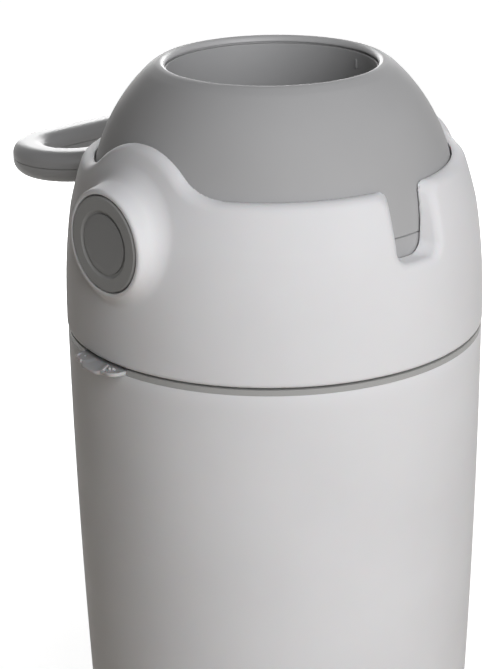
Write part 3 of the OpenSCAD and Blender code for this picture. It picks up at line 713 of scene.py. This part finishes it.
FINISHES = {
    "white_shell": plastic("white_shell", (0.80, 0.80, 0.808), 0.65, gleam=0.12, scatter=0.05),
    "white_inner": plastic("white_inner", (0.76, 0.76, 0.755), 0.50),
    "grey_ring": plastic("grey_ring", (0.40, 0.40, 0.39), 0.55),
    "drum_grey": plastic("drum_grey", (0.43, 0.43, 0.43), 0.62, gleam=0.12),
    "tube_grey": plastic("tube_grey", (0.36, 0.36, 0.36), 0.50, gleam=0.25),
    "hub_grey": plastic("hub_grey", (0.262, 0.262, 0.256), 0.52, gleam=0.3),
    "cap_grey": plastic("cap_grey", (0.20, 0.20, 0.196), 0.50, gleam=0.3),
    "frosted_plastic": plastic("frosted_plastic", (0.53, 0.53, 0.53), 0.5, gleam=0.12,
                               scatter=0.2),
    "bush_plastic": plastic("bush_plastic", (0.30, 0.30, 0.30), 0.45),
    "seal_rubber": plastic("seal_rubber", (0.035, 0.035, 0.035), 0.65, grain=0.3),
    "steel": steel("steel"),
}
# Paints shade on the grip as a darker colour, and adds gloss to the grip and the lips
polish_grip_and_paint_shade(FINISHES["drum_grey"])
# Paints shade on the latches' upper faces as a darker colour
paint_shade_from_above(FINISHES["frosted_plastic"])


def finish(piece, slot):
    """Gives a piece or a CAD node the finish of one of the record's material slots."""
    piece.data.materials.clear()
    piece.data.materials.append(FINISHES[slot])


def stand_for(piece, node, body, slot):
    """Gives a piece its finish and lets it replace a CAD node."""
    finish(piece, slot)
    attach(piece, body)
    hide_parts(node)


# ---------- tub ----------

def tub_r_at(z):
    """The tub's outer radius at a height: it draws in more and more towards the foot."""
    return TUB_TOP_R - (TUB_TOP_R - TUB_FOOT_R) * ((TUB_H - z) / TUB_H) ** 2


def tub_side(inset):
    """Points up the tub's side, from the foot's edge to just under the rim."""
    return [(tub_r_at(z) - inset, z) for z in np.linspace(FOOT_EDGE_R, TUB_H - 1.0, 40)]


def make_tub():
    middle_r = tub_r_at(FOOT_EDGE_R) - FOOT_EDGE_R
    foot = [(middle_r + FOOT_EDGE_R * math.sin(a), FOOT_EDGE_R * (1 - math.cos(a)))
            for a in np.linspace(0, math.pi / 2, 10)[:-1]]
    inner_r = FOOT_EDGE_R - TUB_WALL
    inner_foot = [(middle_r + inner_r * math.sin(a), FOOT_EDGE_R - inner_r * math.cos(a))
                  for a in np.linspace(0, math.pi / 2, 8)[1:-1]]
    groove_outer_r = TUB_FOOT_R - FOOT_EDGE_R - UNDER_GROOVE_INSET
    under = [(0, 0), (UNDER_GROOVE_R, 0), (UNDER_GROOVE_R + UNDER_GROOVE_SLOPE, UNDER_GROOVE_H),
             (groove_outer_r - UNDER_GROOVE_SLOPE, UNDER_GROOVE_H), (groove_outer_r, 0)]
    top = [(TUB_TOP_R - 0.25, TUB_H - 0.25), (TUB_TOP_R - 0.9, TUB_H),
           (TUB_TOP_R - TUB_WALL + 0.6, TUB_H), (TUB_TOP_R - TUB_WALL, TUB_H - 0.6)]
    inside = list(reversed(tub_side(TUB_WALL)))
    floor = list(reversed(inner_foot)) + [(middle_r - 4, TUB_FLOOR), (0, TUB_FLOOR)]
    outline = under + foot + tub_side(0) + top + inside + floor
    tub = lathe("tub", outline, segments=256)
    stand_for(tub, "tub_shell", "tub", "white_shell")


# ---------- head ----------

def head_skin_field(x, y, z):
    """The head's outside without its bosses: the wall below the pivot and the dome above."""
    rho = np.hypot(x, y)
    up = np.maximum(z, 0)
    angle = np.degrees(np.arctan2(up, np.maximum(rho, 1)))
    dome = np.hypot(rho, up) - (DOME_R + (WAIST_R - DOME_R) * np.exp(-angle / DOME_FALLOFF))
    share = np.clip((z + PIVOT_RISE) / PIVOT_RISE, 0, 1)
    wall = rho - (HEAD_R - (HEAD_R - WAIST_R) * share**WALL_POWER)
    return np.where(z > 0, dome, wall)


def rim_field(y, z):
    """The rim seen along the pivot: a round crown, a hollow curve, then level."""
    across = np.abs(y)
    crown = np.sqrt(np.maximum(HILL_R**2 - across**2, 0))
    run = np.sqrt(np.maximum(HILL_BLEND_R**2 - (HILL_BLEND_Y - across) ** 2, 0))
    beyond = across > HILL_BLEND_Y
    height = np.where(beyond, RIM_RISE, RIM_RISE + HILL_BLEND_R - run)
    lean = np.where(beyond, 1.0, run / HILL_BLEND_R)
    on_crown = across < HILL_MEET_Y
    height = np.where(on_crown, crown, height)
    lean = np.where(on_crown, crown / HILL_R, lean)
    return (z - height) * lean


def head_field(x, y, z):
    """The whole head but for the pockets, which make_head() cuts."""
    skin = head_skin_field(x, y, z)
    from_axis = np.hypot(y, z)
    from_drum = np.sqrt(x**2 + y**2 + z**2) - DRUM_SPACE_R
    out_x = np.abs(x)
    flank = (from_axis - BOSS_R - BOSS_SPREAD * np.maximum(BOSS_X - out_x, 0)) * BOSS_LEAN
    body = round_both(round_either(skin, flank, BOSS_HOLLOW_R), out_x - BOSS_X, BOSS_EDGE_R)

    # 0 at the outer wall, 1 at the drum
    inwards = np.clip(-skin / np.maximum(from_drum - skin, 1), 0, 1)
    half_w = NOTCH_FLARE_W - (NOTCH_FLARE_W - NOTCH_HALF_W) * inwards
    half_w = half_w + NOTCH_SIDE_SLOPE * np.maximum(z, 0)
    notch = round_both(out_x - half_w, -z - NOTCH_DROP, NOTCH_CORNER_R)
    top_r = NOTCH_TOP_OUTER_R - (NOTCH_TOP_OUTER_R - NOTCH_TOP_INNER_R) * inwards**3
    kept = round_both(rim_field(y, z), -notch, top_r)
    body = round_both(body, kept, LIP_ROUND)
    body = without(body, from_drum, DRUM_SPACE_EDGE_R)

    # The inside is hollow but for the lip, the walls of the notches and the bosses' cores
    hollow = np.maximum(skin + HEAD_WALL, z - LIP_UNDER_Z)
    notch_block = np.maximum(out_x - NOTCH_FLARE_W - NOTCH_SIDE_WALL,
                             -z - NOTCH_DROP - NOTCH_FLOOR_WALL)
    hollow = np.maximum(hollow, -notch_block)
    hollow = np.maximum(hollow, BOSS_CORE_R - from_axis)
    body = without(body, hollow, HEAD_INNER_EDGE_R)
    return round_both(body, -z - PIVOT_RISE, HEAD_FOOT_EDGE_R)


def make_head():
    head = surface_net("head", head_field, *HEAD_GRID, PIVOT_Z)
    mouth_r = POCKET_R + POCKET_CHAMFER
    outline = [(0, CUT_FROM), (BUSH_HOLE_R, CUT_FROM), (BUSH_HOLE_R, POCKET_X),
               (POCKET_R, POCKET_X), (POCKET_R, BOSS_X - 0.4), (mouth_r, BOSS_X + 0.2),
               (mouth_r, HEAD_CUT_TO), (0, HEAD_CUT_TO)]
    for side in (-1, 1):
        pocket = lathe("pocket", outline, segments=128)
        lay_along_x(pocket, side)
        cut(head, pocket, SKIN_SMOOTH_ANGLE)
    stand_for(head, "head_shell", "head", "white_shell")


# ---------- drum ----------

def drum_outline():
    """The upper shell's section: the ball, the rounded lip and the skirt that holds the tube."""
    shoulder_z = MOUTH_Z - SHOULDER_DROP
    shoulder_angle = math.degrees(math.asin(shoulder_z / DRUM_R))
    ball = arc(DRUM_R, np.linspace(BALL_FROM_ANGLE, shoulder_angle, 44))
    joint = [(DRUM_R - DRUM_JOINT_CHAMFER, DRUM_JOINT_Z)]
    lip = smooth_curve([
        ball[-1], (LIP_CREST_R + 4.4, MOUTH_Z - 1.9), (LIP_CREST_R + 2, MOUTH_Z - 0.5),
        (LIP_CREST_R, MOUTH_Z - 0.03), (LIP_R + 2.3, MOUTH_Z - 0.2), (LIP_R + 1, MOUTH_Z - 1.1),
        (LIP_R, MOUTH_Z - 2.7)])[1:]
    seat_r = TUBE_OUTER_R + TUBE_SEAT_GAP
    seat_z = TUBE_HALF_L + TUBE_SEAT_GAP
    under_z = MOUTH_Z - SKIRT_H
    inner_z = shoulder_z - DRUM_WALL
    skirt = [(LIP_R, seat_z), (seat_r, seat_z), (seat_r, under_z),
             (seat_r + SKIRT_WALL, under_z), (seat_r + SKIRT_WALL, inner_z)]
    inner_r = DRUM_R - DRUM_WALL
    inner_angle = math.degrees(math.asin(inner_z / inner_r))
    inner = arc(inner_r, np.linspace(inner_angle, BALL_INNER_FROM_ANGLE, 24))
    return joint + ball + lip + skirt + inner


def make_drum():
    slot_half_w = NECK_HALF_W + SLOT_GAP
    slot_half_h = GRIP_H / 2 + SLOT_GAP
    slot_low = (-slot_half_w, CUT_FROM, PIVOT_Z - slot_half_h)
    slot_high = (slot_half_w, DRUM_CUT_TO, PIVOT_Z + slot_half_h)
    bore_r = SHAFT_R + SHAFT_GAP
    bore_outline = [(0, CUT_FROM), (bore_r, CUT_FROM),
                    (bore_r, DRUM_CUT_TO), (0, DRUM_CUT_TO)]
    for name, way in (("drum_upper", 1), ("drum_lower", -1)):
        outline = [(r, way * h) for r, h in drum_outline()]
        shell = lathe(name, outline, PIVOT_Z, segments=256)
        cut(shell, box_piece("slot", slot_low, slot_high))
        for side in (-1, 1):
            bore = lathe("bore", bore_outline, segments=64)
            lay_along_x(bore, side)
            cut(shell, bore)
        stand_for(shell, name + "_shell", "drum", "drum_grey")


def stop_nub(side, way):
    """A small rounded rib on the tube's wall that stops the piston."""
    middle_x = side * (TUBE_R + STOP_INSET)
    middle_z = way * (STOP_Z + STOP_H / 2)

    def nub(x, y, z):
        return slab_box((x - middle_x, y, z - middle_z), STOP_HALF_SIZE, STOP_EDGE_R)

    middle = np.array((middle_x, 0.0, middle_z))
    piece = surface_net("nub", nub, middle - STOP_REACH, middle + STOP_REACH, STOP_STEP, PIVOT_Z)
    piece.data.transform(Matrix.Rotation(math.radians(STOP_TURN), 4, "Z"))
    return piece


def make_tube():
    """The tube with its stops. It ends short of the lip, so that the lip's shadow lies between."""
    end_z = TUBE_HALF_L - TUBE_END_INSET
    wall = rounded_outline([(r, z, TUBE_EDGE_R) for r, z in (
        (TUBE_R, -end_z), (TUBE_OUTER_R, -end_z), (TUBE_OUTER_R, end_z), (TUBE_R, end_z))], 3)
    parts = [lathe("drum_tube_skin", wall, PIVOT_Z)]
    for side in (-1, 1):
        for way in (-1, 1):
            parts.append(stop_nub(side, way))
    tube = join("drum_tube_skin", parts)
    shade(tube)
    stand_for(tube, "drum_tube", "drum", "tube_grey")


# ---------- pivots ----------

def make_pivots():
    """Each hub has a bevelled edge and a groove round its cap, whose face is slightly domed."""
    groove_x = HUB_FACE_X - GROOVE_DEPTH
    hub_outline = rounded_outline([
        (0, SHAFT_END_X, 0), (SHAFT_R, SHAFT_END_X, 1.0), (SHAFT_R, HUB_BACK_X, 0.3),
        (HUB_R, HUB_BACK_X, HUB_EDGE_R), (HUB_R, HUB_FACE_X - HUB_BEVEL, 0.4),
        (HUB_R - 0.9, HUB_FACE_X, HUB_EDGE_R), (GROOVE_OUTER_R, HUB_FACE_X, HUB_EDGE_R),
        (GROOVE_INNER_R, groove_x, HUB_EDGE_R), (CAP_R + CAP_GAP, groove_x - 0.1, 0.1),
        (CAP_R + CAP_GAP, CAP_FLOOR_X, 0), (0, CAP_FLOOR_X, 0)])
    cap_outline = rounded_outline([
        (0, CAP_FLOOR_X, 0), (CAP_R, CAP_FLOOR_X, 0.2), (CAP_R, CAP_FLOOR_X + CAP_SIDE_T, 0.3),
        (CAP_FLAT_R, CAP_FLOOR_X + CAP_T, 0.8), (0, CAP_FLOOR_X + CAP_T, 0)])
    for side, word in ((-1, "left"), (1, "right")):
        hub = lathe("hub_" + word, hub_outline, segments=128)
        lay_along_x(hub, side)
        stand_for(hub, "pivot_hub_" + word, "drum", "hub_grey")
        cap = lathe("cap_" + word, cap_outline, segments=128)
        lay_along_x(cap, side)
        stand_for(cap, "pivot_cap_" + word, "drum", "cap_grey")


# ---------- handle ----------

def handle_field(x, y, z):
    """The whole handle: the loop and the neck, with the corners between them filled in."""
    mid_y = (GRIP_FAR_Y + GRIP_NEAR_Y) / 2
    turn_r = (GRIP_FAR_Y - GRIP_NEAR_Y) / 2
    across = np.hypot(np.maximum(np.abs(x) - GRIP_HALF_L, 0), y - mid_y) - turn_r
    loop = slab_box((across, z), (GRIP_W / 2, GRIP_H / 2), GRIP_EDGE_R)
    neck_mid = (NECK_ROOT_Y + GRIP_NEAR_Y) / 2
    neck_half = (GRIP_NEAR_Y - NECK_ROOT_Y) / 2
    neck = slab_box((x, z), (NECK_HALF_W, GRIP_H / 2), NECK_EDGE_R)
    neck = np.maximum(neck, np.abs(y - neck_mid) - neck_half)
    return round_either(loop, neck, NECK_HOLLOW_R)


def keep_half(piece, way):
    """Cuts the handle at mid height, closes it, and keeps the half above or below."""
    bm = bmesh.new()
    bm.from_mesh(piece.data)
    plane = (0, 0, (PIVOT_Z + way * GRIP_JOINT_GAP) * MM)
    bmesh.ops.bisect_plane(bm, geom=bm.verts[:] + bm.edges[:] + bm.faces[:], dist=1e-7,
                           plane_co=plane, plane_no=(0, 0, way), clear_inner=True)
    rim = [e for e in bm.edges if e.is_boundary]
    bmesh.ops.triangle_fill(bm, edges=rim, use_beauty=True)
    bmesh.ops.recalc_face_normals(bm, faces=bm.faces)
    bm.to_mesh(piece.data)
    bm.free()
    shade(piece, SKIN_SMOOTH_ANGLE)


def make_handle():
    screws_xy = ((-GRIP_HALF_L, GRIP_FAR_Y), (GRIP_HALF_L, GRIP_FAR_Y), (0, GRIP_NEAR_Y))
    well_outline = [(0, SCREW_WELL_LOW_Z), (SCREW_WELL_R, SCREW_WELL_LOW_Z),
                    (SCREW_WELL_R, SCREW_WELL_TOP_Z), (0, SCREW_WELL_TOP_Z)]
    for word, way in (("upper", 1), ("lower", -1)):
        half = surface_net("handle_" + word + "_skin", handle_field, *HANDLE_GRID, PIVOT_Z)
        keep_half(half, way)
        if way < 0:
            for x, y in screws_xy:
                well = lathe("well", well_outline, PIVOT_Z, 48)
                well.data.transform(Matrix.Translation((x * MM, y * MM, 0)))
                cut(half, well, SKIN_SMOOTH_ANGLE)
        stand_for(half, "handle_" + word, "drum", "drum_grey")


# ---------- latches ----------

def latch_field(u, v, w):
    """u runs outwards from the bin's axis, v along the seam, w up from the seam."""
    from_axis = np.hypot(u, v)
    along = np.abs(v)
    outline = round_both(from_axis - LATCH_LOBE_R, along - LATCH_HALF_W, LATCH_CORNER_R)
    to_root = np.clip((PADDLE_NARROW_FROM_R - from_axis) / PADDLE_NARROW_RUN, 0, 1)
    pad_half_w = PADDLE_HALF_W - PADDLE_NARROWING * to_root
    pad_outline = round_both(from_axis - PADDLE_R, along - pad_half_w, PADDLE_CORNER_R)
    body = np.minimum(latch_plate(u, w, from_axis, outline, pad_outline),
                      latch_paddle(w, from_axis, pad_outline))
    for u_bump, v_bump in BUMPS_UV:
        knob = np.sqrt((u - u_bump) ** 2 + (v - v_bump) ** 2 + (w - BUMP_W) ** 2) - BUMP_R
        body = np.minimum(body, knob)
    for u_pit, v_pit in PITS_UV:
        pit = slab_box((u - u_pit, v - v_pit, w - LATCH_MIDDLE_W), PIT_HALF_SIZE, PIT_EDGE_R)
        body = np.maximum(body, -pit)

    from_pin = np.hypot(u - LATCH_PIN_U, w - LATCH_PIN_W)
    barrel = round_both(from_pin - BARREL_R, along - BARREL_HALF_L, BARREL_EDGE_R)
    body = np.minimum(body, barrel)
    ear_space = np.maximum(np.abs(along - EAR_V) - EAR_HALF_T, u - EAR_REACH_U)
    body = np.maximum(body, -ear_space)
    for (u_box, w_box), halves, edge_r in HOOK_BOXES:
        body = np.minimum(body, slab_box((u - u_box, v, w - w_box), halves, edge_r))
    return np.maximum(body, PIN_HOLE_R - from_pin)


def latch_plate(u, w, from_axis, outline, pad_outline):
    """The plate, sunk inside its rim, with a gap round the paddle."""
    half_t = (LATCH_TOP_W - LATCH_UNDER_W) / 2
    plate = round_both(outline, np.abs(w - LATCH_MIDDLE_W) - half_t, LATCH_EDGE_R)
    rise = TRAY_RISE * np.clip((TRAY_RISE_FROM_R - from_axis) / TRAY_RISE_RUN, 0, 1)
    tray = round_both(outline + TRAY_RIM, LATCH_TRAY_W + rise - w, TRAY_CORNER_R)
    plate = without(plate, tray, TRAY_EDGE_R)
    plate = np.maximum(plate, LATCH_PIN_U - u)
    gap = round_both(pad_outline - PADDLE_GAP, PADDLE_GAP_ROOT_R - from_axis,
                     PADDLE_GAP_CORNER_R)
    return without(plate, gap, PADDLE_GAP_EDGE_R)


def latch_paddle(w, from_axis, pad_outline):
    """The thumb paddle: it droops towards its tip and is dished inside its edge."""
    out = (from_axis - PADDLE_ROOT_R) / (PADDLE_R - PADDLE_ROOT_R)
    top_w = PADDLE_ROOT_W + (PADDLE_TIP_W - PADDLE_ROOT_W) * out**2
    dish = DISH_DEPTH * np.clip(-(pad_outline + DISH_RIM) / DISH_RUN, 0, 1)
    pad = round_both(pad_outline, w - top_w + dish, PADDLE_TOP_EDGE_R)
    pad = round_both(pad, PADDLE_UNDER_W - w, PADDLE_UNDER_EDGE_R)
    return np.maximum(pad, PADDLE_ROOT_R - PADDLE_OVERLAP - from_axis)


def make_latches():
    for side, word in ((-1, "left"), (1, "right")):
        skin = surface_net("latch_" + word + "_skin", latch_field, *LATCH_GRID, SEAM_Z)
        skin.data.transform(Matrix.Rotation(math.radians(LATCH_TURN), 4, "Z"))
        if side < 0:
            skin.data.transform(Matrix.Scale(-1, 4, (1, 0, 0)))
            face_outwards(skin)
        shade(skin, SKIN_SMOOTH_ANGLE)
        stand_for(skin, "latch_" + word, "latch_" + word, "frosted_plastic")


# ---------- piston ----------

def make_piston_caps():
    """A low dome on each end of the piston's body, wherever the CAD model puts that."""
    low_z, high_z = (corner.z / MM - PIVOT_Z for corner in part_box("piston_body"))
    piston_r = TUBE_R - PISTON_GAP
    crown = [(r, CROWN_H - CROWN_FALL * (r / piston_r) ** 3)
             for r in np.linspace(0, piston_r - 1.5, 20)]
    rim = [(piston_r - 0.4, 1.6), (piston_r, 0.9), (piston_r, 0.0)]
    under = [(piston_r - 4, 0.0), (piston_r - 12, 3.4), (0, 4.0)]
    for word, end_z, way in (("upper", high_z, 1), ("lower", low_z, -1)):
        outline = [(r, end_z + way * h) for r, h in crown + rim + under]
        cap = lathe("piston_cap_" + word + "_skin", outline, PIVOT_Z, segments=160)
        stand_for(cap, "piston_cap_" + word, "piston", "white_inner")


# ---------- what carries over from the CAD model ----------

def dress_cad_nodes():
    """Every CAD node gets its slot's finish. The ones that stay visible need nothing more."""
    slots = {s["node"]: s["material_slot"] for s in frame["record"]["subparts"]}
    for node, piece in frame["nodes"].items():
        finish(piece, slots[node])


# ---------- stage ----------

FLOOR_HALF_W = 9000.0
FLOOR_T = 20.0
FLOOR_LIT = (0.437, 0.397, 0.345, 1)
FLOOR_SEEN = (0.80, 0.80, 0.80, 1)
FLOOR_ROUGHNESS = 0.9
FLOOR_GLEAM = 0.2

# How strongly the floor glows for the camera, near the bin and far from it, and between
# which distances from the bin the one turns into the other
GLOW_NEAR = 0.55
GLOW_FAR = 0.95
GLOW_FROM_TO = (0.3, 1.6)

WORLD_LIT = (1.0, 0.95, 0.88, 1)
WORLD_STRENGTH = 0.03
WHITE = (1, 1, 1, 1)

# The softboxes: where each stands, its size in metres, its watts and its colour
LIGHTS_AIM = (0, 0, 0.42)
SOFTBOXES = (
    ("key", (-0.51, -1.89, 1.42), (1.7, 1.8), 43.6, (0.974, 0.976, 1.0)),
    ("back", (1.16, 1.29, 0.89), (1.6, 0.9), 30, (1, 1, 1)),
)

# The photograph's camera, found from the ellipses of its round edges. Angles are in radians
CAMERA_AT = (-0.8766, -0.9528, (SEAM_Z + 471.8) * MM)
CAMERA_HEADING = math.radians(41.87)
CAMERA_PITCH = 0.3608
CAMERA_ROLL = -0.0162
CAMERA_FOCAL_PX = 2036.6
FRAME_H_PX = 669
SENSOR_W = 36.0


def seen_share(nodes, links):
    """1 for what the camera sees, directly, in gloss or through glass, and 0 for other light."""
    rays = nodes.new("ShaderNodeLightPath").outputs
    share = combined(nodes, links, "MAXIMUM", rays["Is Camera Ray"], rays["Is Glossy Ray"])
    return combined(nodes, links, "MAXIMUM", share, rays["Is Transmission Ray"])


def make_floor():
    """A pale floor. The camera sees it white, and darker where the bin shades it."""
    floor = box_piece("floor", (-FLOOR_HALF_W, -FLOOR_HALF_W, -FLOOR_T),
                      (FLOOR_HALF_W, FLOOR_HALF_W, 0))
    paper, nodes, links, shader = new_material("paper")
    shader.inputs["Roughness"].default_value = FLOOR_ROUGHNESS
    shader.inputs["Specular IOR Level"].default_value = FLOOR_GLEAM
    shader.inputs["Emission Color"].default_value = WHITE
    seen = seen_share(nodes, links)
    tone = nodes.new("ShaderNodeMix")
    tone.data_type = "RGBA"
    tone.inputs["A"].default_value = FLOOR_LIT
    tone.inputs["B"].default_value = FLOOR_SEEN
    links.new(seen, tone.inputs["Factor"])
    links.new(tone.outputs["Result"], shader.inputs["Base Color"])
    distance = length_of(nodes, links, object_place(nodes))
    glow = ranged(nodes, links, distance, GLOW_NEAR, GLOW_FAR, *GLOW_FROM_TO)
    strength = combined(nodes, links, "MULTIPLY", seen, glow)
    links.new(strength, shader.inputs["Emission Strength"])
    floor.data.materials.append(paper)


def background(nodes, color, strength):
    node = nodes.new("ShaderNodeBackground")
    node.inputs["Color"].default_value = color
    node.inputs["Strength"].default_value = strength
    return node.outputs["Background"]


def make_world():
    """A faint warm light all round. What the camera sees of the world is white."""
    world = bpy.data.worlds.new("studio")
    bpy.context.scene.world = world
    world.use_nodes = True
    nodes = world.node_tree.nodes
    links = world.node_tree.links
    nodes.clear()
    out = nodes.new("ShaderNodeOutputWorld")
    mix = nodes.new("ShaderNodeMixShader")
    links.new(seen_share(nodes, links), mix.inputs["Fac"])
    links.new(background(nodes, WORLD_LIT, WORLD_STRENGTH), mix.inputs[1])
    links.new(background(nodes, WHITE, 1.0), mix.inputs[2])
    links.new(mix.outputs["Shader"], out.inputs["Surface"])


def make_lights():
    for name, at, size, watts, color in SOFTBOXES:
        light = bpy.data.lights.new(name, "AREA")
        light.shape = "RECTANGLE"
        light.size, light.size_y = size
        light.energy = watts
        light.color = color
        lamp = bpy.data.objects.new(name, light)
        lamp.location = at
        aim = Vector(LIGHTS_AIM) - Vector(at)
        lamp.rotation_euler = aim.to_track_quat("-Z", "Y").to_euler()
        bpy.context.scene.collection.objects.link(lamp)


def make_camera():
    level = math.cos(CAMERA_PITCH)
    ahead = Vector((math.sin(CAMERA_HEADING) * level, math.cos(CAMERA_HEADING) * level,
                    -math.sin(CAMERA_PITCH)))
    right = Vector((math.cos(CAMERA_HEADING), -math.sin(CAMERA_HEADING), 0))
    up = right.cross(ahead)
    turned_right = math.cos(CAMERA_ROLL) * right + math.sin(CAMERA_ROLL) * up
    turned_up = math.cos(CAMERA_ROLL) * up - math.sin(CAMERA_ROLL) * right
    facing = Matrix((turned_right, turned_up, -ahead)).transposed().to_4x4()
    data = bpy.data.cameras.new("camera")
    data.sensor_fit = "AUTO"
    data.sensor_width = SENSOR_W
    data.lens = CAMERA_FOCAL_PX / FRAME_H_PX * SENSOR_W
    camera = bpy.data.objects.new("camera", data)
    camera.matrix_world = Matrix.Translation(Vector(CAMERA_AT)) @ facing
    bpy.context.scene.collection.objects.link(camera)
    bpy.context.scene.camera = camera


# ---------- the whole scene ----------

dress_cad_nodes()
make_tub()
make_head()
make_drum()
make_tube()
make_pivots()
make_handle()
make_latches()
make_piston_caps()
make_floor()
make_world()
make_lights()
make_camera()
bpy.context.scene.view_settings.view_transform = "Standard"
